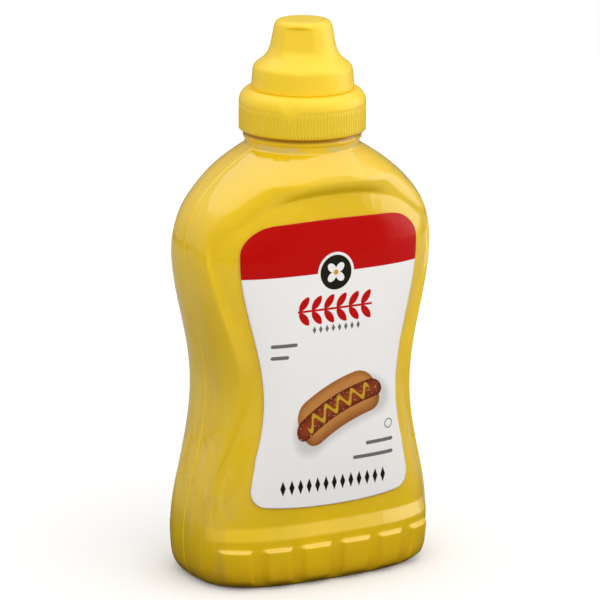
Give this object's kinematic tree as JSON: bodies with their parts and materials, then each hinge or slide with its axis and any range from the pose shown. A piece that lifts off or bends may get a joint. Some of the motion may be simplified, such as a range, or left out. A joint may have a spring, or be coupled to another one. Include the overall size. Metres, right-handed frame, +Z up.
{
  "type": "mustard squeeze bottle",
  "caption": "Waisted clear squeeze bottle full of yellow mustard, with a ribbed screw ring, a tapered spout cap and a shaped label on each broad face.",
  "frame": {"origin": "middle of the base, on the surface that the bottle stands on", "axes": "+Z up to the spout, -Y out of the front label, +X to the right of a viewer who faces the front label"},
  "size_m": [0.071, 0.0422, 0.1497],
  "materials": {
    "clear_bottle": "clear blown plastic, glossy",
    "mustard": "smooth thick yellow sauce",
    "yellow_closure": "satin moulded plastic",
    "label": "coated label, soft gloss"
  },
  "bodies": {
    "root": {"bottle": "clear_bottle", "mustard": "mustard", "screw_ring": "yellow_closure", "spout_cap": "yellow_closure", "label_front": "label", "label_back": "label"}
  },
  "joints": []
}
